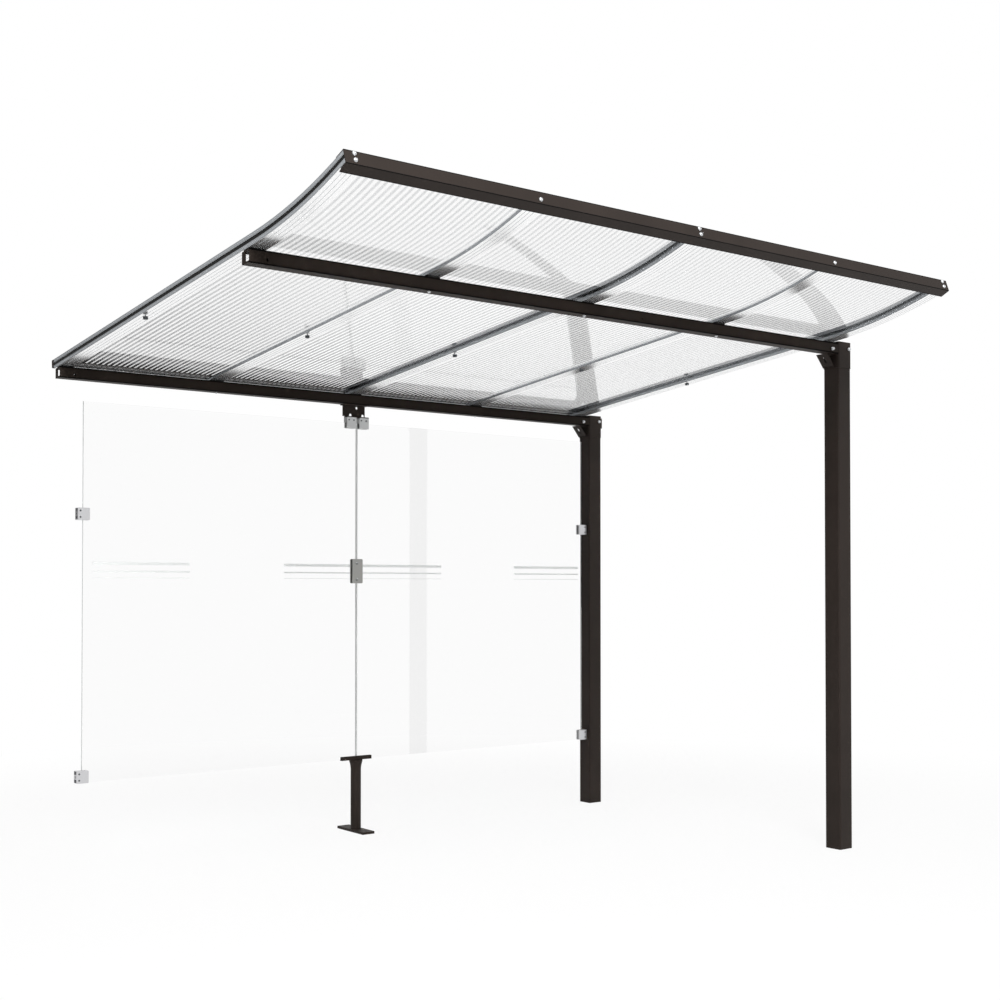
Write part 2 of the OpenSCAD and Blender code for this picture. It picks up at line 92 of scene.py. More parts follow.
# Nodes of one finish
STEEL = (
    "front_post", "rear_post", "front_post_head", "rear_post_head", "front_knee", "rear_knee",
    "glass_hanger", "glass_foot",
)
PURLINS = ("front_purlin", "rear_purlin")
EDGES = ("front_fascia", "rear_edge_tube")
RAFTERS = ("rafter_1", "rafter_2", "rafter_3", "rafter_4", "rafter_5")
BARS = (*RAFTERS, "rafter_cap_1", "rafter_cap_3", "rafter_cap_5")
SHEETS = ("sheet_left", "sheet_right")
PANES = ("glass_left", "glass_right")
SIDE_CLAMPS = ("clamp_left_upper", "clamp_left_lower", "clamp_right_upper", "clamp_right_lower")
TOP_CLAMPS = ("clamp_top_left", "clamp_top_right")
JOINT_PLATES = ("joint_plate_front", "joint_plate_rear")
RUBBER = (
    "rafter_pads", "sheet_seals", "edge_beads", "clamp_liners", "joint_plate_liners",
    "cradle_bed",
)


def middle(low, high):
    """Centre of a box."""
    return (low + high) / 2


def roof_place(x, along, height):
    """Frame at a point of the roof: along runs back from the start of the upsweep, height
    is square on the sheets from the rafters' underside."""
    if along >= 0:
        return ROOF @ Matrix.Translation((x, along, height))
    return (
        ROOF
        @ Matrix.Translation((0, 0, BEND_R))
        @ Matrix.Rotation(along / BEND_R, 4, "X")
        @ Matrix.Translation((x, 0, height - BEND_R))
    )


def roof_point(x, along, height):
    """The same point without its turn."""
    return roof_place(x, along, height).to_translation()


def roof_steps(height):
    """Stations along the roof from its front to its rear end, for what is swept along it."""
    bend_steps, straight_steps = 24, 4
    rear_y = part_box(SHEETS[0])[1].y - height * math.sin(ROOF_SLOPE)
    rear = (rear_y - BEND_Y) / math.cos(ROOF_SLOPE)
    bend = [FRONT_END * (1 - k / bend_steps) for k in range(bend_steps)]
    return bend + [rear * (k / straight_steps) for k in range(straight_steps + 1)]


def roof_height(point):
    """Height of a point over the rafters' underside, square on the sheets."""
    local = ROOF.inverted() @ point
    if local.y >= 0:
        return local.z
    return BEND_R - math.hypot(local.y, BEND_R - local.z)


def facing(x, y, z, direction):
    """Frame at a point with Z along direction."""
    turn = Vector(direction).to_track_quat("Z", "Y").to_matrix().to_4x4()
    return Matrix.Translation((x, y, z)) @ turn


# ---- Node trees ----

def add(tree, kind, settings=None, **inputs):
    """Adds one node. An input is a value, or a socket that it is linked to."""
    node = tree.nodes.new(kind)
    for name, value in (settings or {}).items():
        setattr(node, name, value)
    for name, value in inputs.items():
        key = int(name[1:]) if name[0] == "_" and name[1:].isdigit() else name.replace("_", " ")
        if isinstance(value, bpy.types.NodeSocket):
            tree.links.new(value, node.inputs[key])
        else:
            node.inputs[key].default_value = value
    return node


def made(tree, kind, settings=None, **inputs):
    """Adds one node and gives its first output."""
    return add(tree, kind, settings, **inputs).outputs[0]


def calc(tree, operation, *values, clamp=False):
    """A sum on numbers or sockets."""
    inputs = {f"_{k}": value for k, value in enumerate(values)}
    return made(tree, "ShaderNodeMath", {"operation": operation, "use_clamp": clamp}, **inputs)


def times(tree, first, second):
    return calc(tree, "MULTIPLY", first, second)


def spread(tree, value, low, high, start=0.0, end=1.0, kind="LINEAR"):
    """Goes from low to high while value goes from start to end."""
    return made(tree, "ShaderNodeMapRange", {"interpolation_type": kind}, Value=value,
                From_Min=start, From_Max=end, To_Min=low, To_Max=high)


def ease(tree, value, start, end, low=0.0, high=1.0):
    """Goes from low to high while value goes from start to end, with soft ends."""
    return spread(tree, value, low, high, start, end, "SMOOTHSTEP")


def even(tree, value, low=0.0, high=1.0):
    """Opens out a noise, which mostly stays between 0.3 and 0.7, to low and high."""
    return spread(tree, value, low, high, 0.3, 0.7)


def axis(tree, vector, name):
    """One coordinate of a vector."""
    return add(tree, "ShaderNodeSeparateXYZ", Vector=vector).outputs[name]


def measure(tree, operation, first, second):
    """A number from two vectors."""
    return add(tree, "ShaderNodeVectorMath", {"operation": operation}, _0=first,
               _1=second).outputs["Value"]


def blend(tree, factor, first, second):
    """The first colour where the factor is 0 and the second where it is 1."""
    return add(tree, "ShaderNodeMix", {"data_type": "RGBA"}, Factor=factor, A=first,
               B=second).outputs["Result"]


def object_place(tree):
    """Object coordinates, in metres."""
    return add(tree, "ShaderNodeTexCoord").outputs["Object"]


def noise(tree, scale, detail=2.0, roughness=0.5, stretch=(1, 1, 1), turn=0.0):
    """Noise in object coordinates, turned about X and stretched where it runs with a part."""
    place = made(tree, "ShaderNodeMapping", Vector=object_place(tree), Rotation=(turn, 0, 0),
                 Scale=stretch)
    return add(tree, "ShaderNodeTexNoise", Vector=place, Scale=scale, Detail=detail,
               Roughness=roughness).outputs["Fac"]


def bumped(tree, height, strength, distance):
    """The normal on a surface that is raised by height."""
    return made(tree, "ShaderNodeBump", Height=height, Strength=strength, Distance=distance)


def mixed(tree, share, first, second):
    """Two shaders, with share of the second."""
    return made(tree, "ShaderNodeMixShader", _0=share, _1=first, _2=second)


def along_lines(tree, lines):
    """1 on lines that run along X, 0 off them. A line is its y, its z and its half width."""
    flat = made(tree, "ShaderNodeVectorMath", {"operation": "MULTIPLY"},
                _0=object_place(tree), _1=(0, 1, 1))
    total = 0.0
    for y, z, half_width in lines:
        off = measure(tree, "DISTANCE", flat, (0, y, z))
        near = ease(tree, off, half_width * 0.5, half_width, 1.0, 0.0)
        total = calc(tree, "MAXIMUM", total, near)
    return total


# ---- Materials ----

def colour(value, factor=1.0, lift=0.0):
    """An sRGB hex value as linear red, green, blue and alpha, made paler or darker."""
    parts = [int(value.lstrip("#")[i:i + 2], 16) / 255 for i in (0, 2, 4)]
    linear = [c / 12.92 if c <= 0.04045 else ((c + 0.055) / 1.055) ** 2.4 for c in parts]
    return [min(1.0, c * factor + lift) for c in linear] + [1.0]


def material(name):
    """An empty material with its node tree."""
    mat = bpy.data.materials.new(name)
    mat.use_nodes = True
    mat.node_tree.nodes.clear()
    return mat, mat.node_tree


def principled(tree, **inputs):
    return add(tree, "ShaderNodeBsdfPrincipled", **inputs).outputs["BSDF"]


def finished(mat, shader):
    """Puts the shader on a material's output."""
    add(mat.node_tree, "ShaderNodeOutputMaterial", Surface=shader)
    return mat


def powder_coat(name, value, shade_lines=(), sheen=0.16):
    """Polyester powder coat, sprayed and baked: a matt film with a fine pebbled texture and
    soft tone changes, a little paler where the film pulls thin. Painted shade is given as
    lines along the section: near black and matt at folds, arrises and shadow gaps."""
    mat, tree = material(name)
    # the film's grain is about 0.4 mm; drawn at 1.6 mm so that it shows
    grain = noise(tree, 620.0, detail=3.0, roughness=0.6)
    cloud = noise(tree, 7.0, detail=3.0)
    coat = blend(tree, even(tree, cloud), colour(value), colour(value, 1.22, 0.0008))
    matt = even(tree, grain, 0.46, 0.62)
    if shade_lines:
        # the painted shade lines are about 1.5 mm wide; drawn 4 to 12 mm wide so that they show
        edge_shade = along_lines(tree, shade_lines)
        coat = blend(tree, edge_shade, coat, (0.0006, 0.0005, 0.0004, 1.0))
        matt = spread(tree, edge_shade, matt, 1.0)
    return finished(mat, principled(
        tree, Base_Color=coat, Roughness=matt, Specular_IOR_Level=sheen,
        Normal=bumped(tree, grain, strength=0.16, distance=0.4 * MM)))


def extruded_aluminium(name, value, side_shade_value, turn):
    """Extruded aluminium, natural anodised: a satin metal with fine die lines along the bar."""
    mat, tree = material(name)
    # die lines are about 0.3 mm apart; drawn at 1.5 mm so that they show
    lines = noise(tree, 1.0, roughness=0.55, stretch=(650, 1.2, 650), turn=turn)
    tone = calc(tree, "MULTIPLY_ADD", lines, 0.7, times(tree, noise(tree, 5.0), 0.3))
    base = blend(tree, even(tree, tone), colour(value, 0.98), colour(value))
    # painted shade: the bars' sides are drawn darker and duller than the flanges
    normal = add(tree, "ShaderNodeNewGeometry").outputs["True Normal"]
    side = ease(tree, calc(tree, "ABSOLUTE", axis(tree, normal, "X")), 0.7, 0.95)
    return finished(mat, principled(
        tree, Base_Color=blend(tree, side, base, colour(side_shade_value)),
        Metallic=spread(tree, side, 0.9, 0.74), Roughness=even(tree, lines, 0.19, 0.23),
        Normal=bumped(tree, lines, strength=0.003, distance=0.3 * MM)))


def cast_metal(name, value, low=0.3, high=0.44):
    """Die-cast, blasted or plated metal: even satin skin with a faint sandy grain."""
    mat, tree = material(name)
    grain = noise(tree, 420.0, detail=3.0, roughness=0.6)
    return finished(mat, principled(
        tree, Base_Color=blend(tree, grain, colour(value, 0.9), colour(value, 1.08)),
        Metallic=1.0, Roughness=even(tree, grain, low, high),
        Normal=bumped(tree, grain, strength=0.08, distance=0.3 * MM)))


def lets_lamps_through(tree, shader, share):
    """Glass that doesn't hold back the lamps: rays from them pass straight through."""
    lamp_ray = add(tree, "ShaderNodeLightPath").outputs["Is Shadow Ray"]
    clear = made(tree, "ShaderNodeBsdfTransparent", Color=(1, 1, 1, 1))
    return mixed(tree, times(tree, lamp_ray, share), shader, clear)


def float_glass(name, value):
    """Toughened float glass: clear and flat, with a faint roller wave."""
    mat, tree = material(name)
    # the roller wave is about 250 mm long
    wave = noise(tree, 4.0, detail=1.0)
    glass = principled(
        tree, Base_Color=colour(value), Transmission_Weight=1.0, IOR=1.52, Roughness=0.0,
        Specular_IOR_Level=0.15, Normal=bumped(tree, wave, strength=0.02, distance=2 * MM))
    return finished(mat, lets_lamps_through(tree, glass, 0.95))


def clear_polycarbonate(name, value, pitch, web_value, corner_web_value, shade):
    """Extruded polycarbonate multiwall: clear and glossy. The skins sink a little between
    the webs, and the thicker plastic at each web carries more of the tint."""
    mat, tree = material(name)
    across = add(tree, "ShaderNodeAttribute", {"attribute_name": "across"}).outputs["Fac"]
    outside = add(tree, "ShaderNodeAttribute", {"attribute_name": "outside"}).outputs["Fac"]
    flute = calc(tree, "DIVIDE", across, pitch)
    line = ease(tree, calc(tree, "PINGPONG", flute, 0.5), 0.03, 0.4, 1.0, 0.0)
    # the web lines are drawn darker and wider towards the low rear corner at the free end
    place = object_place(tree)
    back = axis(tree, place, "Y")
    corner = calc(tree, "MULTIPLY_ADD", axis(tree, place, "X"), -0.6, back)
    corner_dark = ease(tree, corner, 1.1, 2.5)
    # just in front of the rear purlin the webs and the underside are painted dark: a painted
    # reflection of the purlin, mirrored in the underside, and its painted shade
    near = ease(tree, back, shade - 120 * MM, shade - 45 * MM)
    past = ease(tree, back, shade - 5 * MM, shade + 8 * MM, 1.0, 0.0)
    painted_shade = times(tree, near, past)
    # the lines widen towards the low rear corner and in the painted shade
    width = calc(tree, "MULTIPLY_ADD", painted_shade, 3.0, calc(tree, "MULTIPLY_ADD", corner_dark, 0.6, 1.0))
    shown = calc(tree, "MULTIPLY", times(tree, line, outside), width, clamp=True)
    # near black, for the painted shade
    dark = (0.001, 0.001, 0.001, 1.0)
    web = blend(tree, painted_shade, blend(tree, corner_dark, colour(web_value), colour(corner_web_value)), dark)
    shade_cover = times(tree, times(tree, painted_shade, outside), 0.4)
    tint = blend(tree, shown, blend(tree, shade_cover, colour(value), dark), web)
    # the skins sink by 0.04 mm between two webs
    wave = calc(tree, "COSINE", times(tree, flute, 2 * math.pi))
    depth = times(tree, wave, outside)
    sunk = bumped(tree, depth, strength=1.0, distance=0.02 * MM)
    # the underside mirrors what stands below it, most of all along the webs; from the painted
    # shade back to the rear end the mirror is turned down, so that the painted shade stays dark
    mirror = times(tree, outside, spread(tree, line, 0.5, 1.0))
    gloss = times(tree, mirror, spread(tree, near, 1.0, 0.12))
    plastic = principled(
        tree, Base_Color=tint, Transmission_Weight=1.0, IOR=1.03, Roughness=0.03,
        Coat_Weight=gloss, Coat_IOR=2.1, Coat_Roughness=0.05, Coat_Normal=sunk, Normal=sunk)
    return finished(mat, lets_lamps_through(tree, plastic, 0.3))


def moulded_rubber(name, value):
    """Extruded EPDM rubber: black, matt, slightly chalky."""
    mat, tree = material(name)
    grain = noise(tree, 300.0, detail=3.0)
    return finished(mat, principled(
        tree, Base_Color=blend(tree, grain, colour(value), colour(value, 1.6, 0.002)),
        Roughness=0.75, Specular_IOR_Level=0.3,
        Normal=bumped(tree, grain, strength=0.1, distance=0.4 * MM)))


def matt_skin(name, value):
    """An even, slightly rough skin, for ceramic ink fired on glass and for ground glass: it
    scatters the light that the clear pane lets through."""
    mat, tree = material(name)
    # the screen's mesh and the grinding leave marks about 0.3 mm apart; drawn at 1.2 mm
    dots = noise(tree, 800.0, detail=1.0)
    return finished(mat, principled(
        tree, Base_Color=blend(tree, dots, colour(value, 0.94), colour(value, 1.06)),
        Roughness=0.55, Specular_IOR_Level=0.4))


def give(nodes, mat):
    """Gives CAD nodes a material in place of their own."""
    for name in nodes:
        mesh = NODES[name].data
        mesh.materials.clear()
        mesh.materials.append(mat)


# ---- Pieces ----

def mesh_of(name, bm):
    """A new mesh from what was drawn in bm."""
    mesh = bpy.data.meshes.new(name)
    bm.to_mesh(mesh)
    bm.free()
    return mesh


def face_outwards(mesh):
    bm = bmesh.new()
    bm.from_mesh(mesh)
    bmesh.ops.recalc_face_normals(bm, faces=bm.faces)
    bm.to_mesh(mesh)
    bm.free()


def shade_by_angle(mesh):
    """Shades the faces smoothly, but for the edges that turn by more than 30 degrees."""
    mesh.shade_smooth()
    mesh.set_sharp_from_angle(angle=math.radians(30))


def linked(name, data):
    """A new object in the scene."""
    item = bpy.data.objects.new(name, data)
    bpy.context.scene.collection.objects.link(item)
    return item


def new_piece(name, mesh, mat, body="root"):
    """Links a finished mesh as a piece of the part."""
    mesh.materials.clear()
    mesh.materials.append(mat)
    mesh.polygons.foreach_set("material_index", [0] * len(mesh.polygons))
    piece = linked(name, mesh)
    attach(piece, body)
    return piece


def merged_copy(node, mat):
    """A copy of a CAD node with its triangles joined, so that its curves shade smoothly."""
    mesh = NODES[node].data.copy()
    mesh.name = node + "_finished"
    bm = bmesh.new()
    bm.from_mesh(mesh)
    bmesh.ops.remove_doubles(bm, verts=bm.verts, dist=2e-6)
    bmesh.ops.dissolve_degenerate(bm, edges=bm.edges, dist=1e-7)
    bm.to_mesh(mesh)
    bm.free()
    if "custom_normal" in mesh.attributes:
        mesh.attributes.remove(mesh.attributes["custom_normal"])
    shade_by_angle(mesh)
    piece = new_piece(node + "_finished", mesh, mat)
    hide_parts(node)


def add_bar(bm, centre, size):
    """Adds a square bar to bm."""
    verts = bmesh.ops.create_cube(bm, size=1.0)["verts"]
    bmesh.ops.scale(bm, verts=verts, vec=size)
    bmesh.ops.translate(bm, verts=verts, vec=centre)


def join_rings(bm, rings):
    """Walls from ring to ring, and a face on the first and the last. A ring is its points."""
    rings = [[bm.verts.new(point) for point in ring] for ring in rings]
    for first, second in zip(rings, rings[1:]):
        for k in range(len(first)):
            after = (k + 1) % len(first)
            bm.faces.new((first[k], first[after], second[after], second[k]))
    bm.faces.new(rings[0])
    bm.faces.new(rings[-1])
    bmesh.ops.recalc_face_normals(bm, faces=bm.faces)


def turned(name, profile, corners, sides=24):
    """Closed mesh from a profile of (radius, height) pairs, turned about Z. A ring named in
    corners is six-sided, with that radius at its corners."""
    bm = bmesh.new()
    rings = []
    for index, (radius, height) in enumerate(profile):
        if radius == 0:
            rings.append([bm.verts.new((0, 0, height))])
            continue
        ring = []
        for k in range(sides):
            turn = 2 * math.pi * k / sides
            r = radius
            if index in corners:
                off = turn % (math.pi / 3) - math.pi / 6
                r = radius * math.cos(math.pi / 6) / math.cos(off)
            ring.append(bm.verts.new((r * math.cos(turn), r * math.sin(turn), height)))
        rings.append(ring)
    for low, high in zip(rings, rings[1:]):
        for k in range(sides):
            after = (k + 1) % sides
            if len(low) == 1:
                bm.faces.new((low[0], high[after], high[k]))
            elif len(high) == 1:
                bm.faces.new((low[k], low[after], high[0]))
            else:
                bm.faces.new((low[k], low[after], high[after], high[k]))
    bmesh.ops.recalc_face_normals(bm, faces=bm.faces)
    mesh = mesh_of(name, bm)
    mesh.shade_smooth()
    return mesh


def button_head():
    """Button-head screw of unit width and height, with a hexagon socket."""
    return turned("button head", [
        (0, 0), (0.5, 0), (0.5, 0.14), (0.492, 0.2), (0.452, 0.46), (0.385, 0.7), (0.3, 0.88),
        (0.225, 0.96), (0.205, 0.965), (0.195, 0.94), (0.195, 0.45), (0, 0.4),
    ], corners={8, 9, 10})


def socket_screw():
    """Socket screw of unit width and height that stands just proud of its hole."""
    return turned("socket screw", [
        (0, 0), (0.5, 0), (0.5, 0.7), (0.46, 1.0), (0.33, 1.0), (0.31, 0.9), (0.31, 0.3),
        (0, 0.2),
    ], corners={4, 5, 6})


def cap_nut():
    """Cap nut of unit width and height: a hexagon under a dome."""
    return turned("cap nut", [
        (0, 0), (0.5, 0), (0.56, 0.04), (0.56, 0.36), (0.5, 0.42), (0.46, 0.43), (0.455, 0.56),
        (0.41, 0.72), (0.32, 0.87), (0.18, 0.97), (0, 1.0),
    ], corners={2, 3})


def hex_bolt_end():
    """Hexagon nut of unit width with the bolt's end standing out of it."""
    return turned("nut and bolt end", [
        (0, 0), (0.5, 0), (0.57, 0.05), (0.57, 0.5), (0.5, 0.56), (0.3, 0.57), (0.29, 0.6),
        (0.29, 0.92), (0.25, 1.0), (0, 1.0),
    ], corners={2, 3})


def hanging_nut():
    """Bolt end of unit height with a hexagon nut of unit width near its tip."""
    return turned("bolt and hanging nut", [
        (0, 0), (0.09, 0), (0.09, 0.34), (0.5, 0.35), (0.57, 0.4), (0.57, 0.9), (0.5, 0.94),
        (0.28, 0.95), (0.26, 1.0), (0, 1.0),
    ], corners={4, 5})


def node_group(name, inputs, output):
    """A geometry nodes tree with its sockets, and the values given to it. inputs maps each
    name to its kind."""
    tree = bpy.data.node_groups.new(name, "GeometryNodeTree")
    for key, kind in inputs.items():
        tree.interface.new_socket(key, in_out="INPUT", socket_type="NodeSocket" + kind)
    tree.interface.new_socket(output, in_out="OUTPUT", socket_type="NodeSocketGeometry")
    return tree, add(tree, "NodeGroupInput").outputs


def geo(tree, kind, settings=None, **inputs):
    """Adds one geometry node and gives its first output."""
    return made(tree, "GeometryNode" + kind, settings, **inputs)


def joined(tree, *pieces):
    """Joins geometry in the order given."""
    node = add(tree, "GeometryNodeJoinGeometry")
    for piece in pieces:
        tree.links.new(piece, node.inputs["Geometry"])
    return node.outputs["Geometry"]


def with_material(tree, geometry, mat):
    """Makes instances real and gives them their material."""
    real = geo(tree, "RealizeInstances", Geometry=geometry)
    return geo(tree, "SetMaterial", Geometry=real, Material=mat)


def fastener_tree():
    """Geometry nodes: one head on every point, turned by the point's own angles, sized, made
    real and given its metal."""
    tree, given = node_group("Fastener rows", {
        "Places": "Geometry", "Head": "Object", "Width": "Float", "Height": "Float",
        "Metal": "Material",
    }, "Fasteners")
    head = add(tree, "GeometryNodeObjectInfo", Object=given["Head"]).outputs["Geometry"]
    size = made(tree, "ShaderNodeCombineXYZ", X=given["Width"], Y=given["Width"],
                Z=given["Height"])
    turn = add(tree, "GeometryNodeInputNamedAttribute", {"data_type": "FLOAT_VECTOR"},
               Name="turn").outputs["Attribute"]
    rows = geo(tree, "InstanceOnPoints", Points=given["Places"], Instance=head, Rotation=turn,
               Scale=size)
    add(tree, "NodeGroupOutput", Fasteners=with_material(tree, rows, given["Metal"]))
    return tree


def sheet_tree():
    """Geometry nodes: a multiwall sheet. A rectangle and a row of channels are swept along
    the path, and the same outline closes both ends round the open channels."""
    tree, given = node_group("Multiwall sheet", {
        "Path": "Geometry", "Width": "Float", "Thickness": "Float", "Skin": "Float",
        "Web": "Float", "Pitch": "Float", "Channels": "Int", "Front": "Vector",
        "Front turn": "Vector", "Rear": "Vector", "Rear turn": "Vector", "Plastic": "Material",
    }, "Sheet")
    path = geo(tree, "MeshToCurve", Mesh=given["Path"])
    path = geo(tree, "SetCurveNormal", {"mode": "Z_UP"}, Curve=path)
    outer = geo(tree, "CurvePrimitiveQuadrilateral", Width=given["Width"],
                Height=given["Thickness"])
    skins = times(tree, given["Skin"], 2.0)
    channel = geo(tree, "CurvePrimitiveQuadrilateral",
                  Width=calc(tree, "SUBTRACT", given["Pitch"], given["Web"]),
                  Height=calc(tree, "SUBTRACT", given["Thickness"], skins))
    webs = calc(tree, "SUBTRACT", given["Channels"], 1.0)
    first = times(tree, webs, times(tree, given["Pitch"], -0.5))
    row = geo(tree, "MeshLine", Count=given["Channels"],
              Start_Location=made(tree, "ShaderNodeCombineXYZ", X=first),
              Offset=made(tree, "ShaderNodeCombineXYZ", X=given["Pitch"]))
    channels = geo(tree, "InstanceOnPoints", Points=row, Instance=channel)
    channels = geo(tree, "RealizeInstances", Geometry=channels)
    channels = geo(tree, "ReverseCurve", Curve=channels)
    outline = joined(tree, outer, channels)
    walls = geo(tree, "CurveToMesh", Curve=path, Profile_Curve=outline)
    end = geo(tree, "FillCurve", Curve=outline)
    ends = [geo(tree, "Transform", Geometry=end, Translation=given[place],
                Rotation=given[place + " turn"]) for place in ("Front", "Rear")]
    welded = geo(tree, "MergeByDistance", Geometry=joined(tree, walls, *ends), Distance=0.02 * MM)
    add(tree, "NodeGroupOutput", Sheet=with_material(tree, welded, given["Plastic"]))
    return tree


def grown(name, start_mesh, tree, values, mat):
    """Runs a geometry nodes tree on a mesh and keeps the result as a plain piece."""
    holder = linked(name + " places", start_mesh)
    modifier = holder.modifiers.new("grow", "NODES")
    modifier.node_group = tree
    for item in tree.interface.items_tree:
        if item.item_type == "SOCKET" and item.in_out == "INPUT" and item.name in values:
            modifier[item.identifier] = values[item.name]
    bpy.context.view_layer.update()
    view = holder.evaluated_get(bpy.context.evaluated_depsgraph_get())
    mesh = bpy.data.meshes.new_from_object(view)
    holder.modifiers.clear()
    bpy.data.objects.remove(holder)
    if not mesh.polygons:
        raise RuntimeError(f"{name}: the node tree made nothing")
    mesh.name = name
    return new_piece(name, mesh, mat)


def fasteners(name, head_mesh, places, width, height, mat):
    """One piece of like fasteners. places are 4x4 frames whose Z points out of the surface."""
    head = linked(head_mesh.name, head_mesh)
    points = bpy.data.meshes.new(name + " places")
    points.from_pydata([place.to_translation() for place in places], [], [])
    angles = points.attributes.new("turn", "FLOAT_VECTOR", "POINT")
    for item, place in zip(angles.data, places):
        item.vector = place.to_euler("XYZ")
    tree = bpy.data.node_groups.get("Fastener rows") or fastener_tree()
    values = {"Head": head, "Width": width, "Height": height, "Metal": mat}
    grown(name, points, tree, values, mat)
    bpy.data.objects.remove(head)


# ---- Sizes and colours a user may change ----

def paint(name, what, default):
    """A colour that a user may change."""
    return bpy.props.StringProperty(
        name=name, description=f"Colour of {what}, as an sRGB hex value", default=default)


def amount(name, description, default, low, high, unit="NONE"):
    """A number that a user may change."""
    return bpy.props.FloatProperty(
        name=name, description=description, default=default, min=low, max=high, unit=unit)


def length(name, description, default, low, high):
    """A length that a user may change, typed here in mm and kept in metres."""
    return amount(name, description, default * MM, low * MM, high * MM, "LENGTH")


class ShelterFinish(bpy.types.PropertyGroup):
    steel: paint("Frame coat", "the powder coat", "#241d19")
    # a little darker than the frame coat: painted shade under the roof
    purlins: paint("Purlin coat", "the purlins' powder coat", "#221c18")
    bars: paint("Bars", "the anodised rafters and caps", "#ffffff")
    # painted shade on the bars' sides
    bar_side_shade: paint("Bar sides", "the rafters' and caps' sides", "#b8bcc0")
    fittings: paint("Fittings", "the side clamps", "#cbcbcd")
    zinc: paint("Screws", "the plated screws", "#c8cacc")
    dark_steel: paint("Dark screws", "the clamps' screws and the nuts midway", "#4c4f52")
    rubber: paint("Rubber", "seals, beads, pads and liners", "#070707")
    glass: paint("Glass", "the panes", "#fbfbfb")
    edges: paint("Pane edges", "the panes' ground edges", "#e4e7e6")
    sheet: paint("Sheets", "the roof sheets", "#fdfdfd")
    webs: paint("Webs", "the sheets at their webs", "#b4b6b8")
    # the web lines' colour towards the low rear corner at the free end
    dust: paint("Dusty webs", "the webs where dust gathers, towards the low end", "#3c3d3f")
    plates: paint("Joint plates", "the stainless joint plates", "#9b9b98")
    # a little darker than the side clamps: painted shade under the roof
    top_clamps_in_shade: paint("Top clamps", "the two top clamps", "#c6c7c7")
    foil: paint("Foil", "the foil tape on the sheets' rear ends", "#f4f5f6")
    bands: paint("Bands", "the printed safety bands", "#e6e8e7")


class ShelterFasteners(bpy.types.PropertyGroup):
    dome_width: length("Cap nut width", "Across the flats of the M8 cap nuts", 13.4, 8, 20)
    dome_height: length("Cap nut height", "Height of the M8 cap nuts", 11, 5, 20)
    fascia_width: length("Fascia screw width", "Head width of the fascia screws", 14, 6, 20)
    fascia_height: length("Fascia screw height", "Head height of the fascia screws", 5, 2, 10)
    clamp_width: length("Clamp screw width", "Width of the clamps' socket screws", 6.4, 4, 14)
    nut_width: length("Rafter nut width", "Across the flats of the nuts under the rafters",
                      11, 6, 20)


class ShelterSheets(bpy.types.PropertyGroup):
    pitch: length("Channel pitch", "Distance from one web to the next", 20.5, 10, 40)
    thickness: length("Thickness", "Thickness of the sheet", 10, 6, 20)
    skin: length("Skin", "Thickness of the outer skins", 0.6, 0.3, 2)
    web: length("Web", "Thickness of the webs", 0.6, 0.3, 2)
    middle: length("Middle height", "Height of the sheet's middle over the rafters' underside",
                   17.5, 5, 50)


class ShelterBands(bpy.types.PropertyGroup):
    top: length("Top band height", "Height of the upper band over the ground", 1087, 600, 1600)
    thickness: length("Ink thickness", "Thickness of the printed film", 0.15, 0.05, 1)


class ShelterStudio(bpy.types.PropertyGroup):
    lens: amount("Lens", "Focal length in mm on a 36 mm sensor", 50.49, 20, 120)
    daylight: amount("Daylight", "Strength of the even light from all round", 0.55, 0, 2)
    dark_side: amount("Dark side", "Share of the daylight left on the dim side", 0.5, 0, 1)
    key: amount("Key light", "Power of the large soft light in watts", 420, 0, 2000)


# ---- Operators ----

class SHELTER_OT_frame_coat(bpy.types.Operator):
    """Powder-coats the posts, heads, knees, purlins, hanger, foot, fascia and edge tube"""
    bl_idname = "shelter.frame_coat"
    bl_label = "Coat the steel frame"

    def execute(self, context):
        finish = context.scene.shelter_finish
        give(STEEL, powder_coat("Powder-coated steel", finish.steel))
        for node in PURLINS:
            # painted shade lines at the tube's arrises: front top, front foot, rear foot and rear
            # top
            low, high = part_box(node)
            back = high.z - (high.y - low.y) * math.tan(ROOF_SLOPE)
            lines = ((low.y, high.z, 6 * MM), (low.y, low.z, 5 * MM), (high.y, low.z, 3 * MM),
                     (high.y, back, 2 * MM))
            # the purlins get a darker coat with less sheen than the frame: painted shade under
            # the roof
            give((node,), powder_coat(f"Powder-coated steel tube, {node}", finish.purlins,
                                      lines, sheen=0.08))
        # painted shade lines at the fascia's upper and lower folds, and at the rear edge of its
        # lower flange
        flange_back, flange_drop = 33 * MM, 7 * MM
        lines = []
        for back, height, half_width in (
            (-FASCIA_T, ROOF_H + FASCIA_T, 3.6 * MM), (-FASCIA_T, -FASCIA_T, 2.4 * MM),
            (flange_back, -flange_drop, 3.6 * MM),
        ):
            edge = roof_place(0, FRONT_END, height) @ Vector((0, back, 0))
            lines.append((edge.y, edge.z, half_width))
        give(EDGES, powder_coat("Powder-coated sheet steel", finish.steel, lines))
        return {"FINISHED"}


class SHELTER_OT_bars(bpy.types.Operator):
    """Anodises the extruded rafters and caps"""
    bl_idname = "shelter.bars"
    bl_label = "Anodise the rafters"

    def execute(self, context):
        finish = context.scene.shelter_finish
        bright = extruded_aluminium("Bright anodised aluminium extrusion", finish.bars,
                                    finish.bar_side_shade, ROOF_SLOPE)
        for node in BARS:
            merged_copy(node, bright)
        return {"FINISHED"}


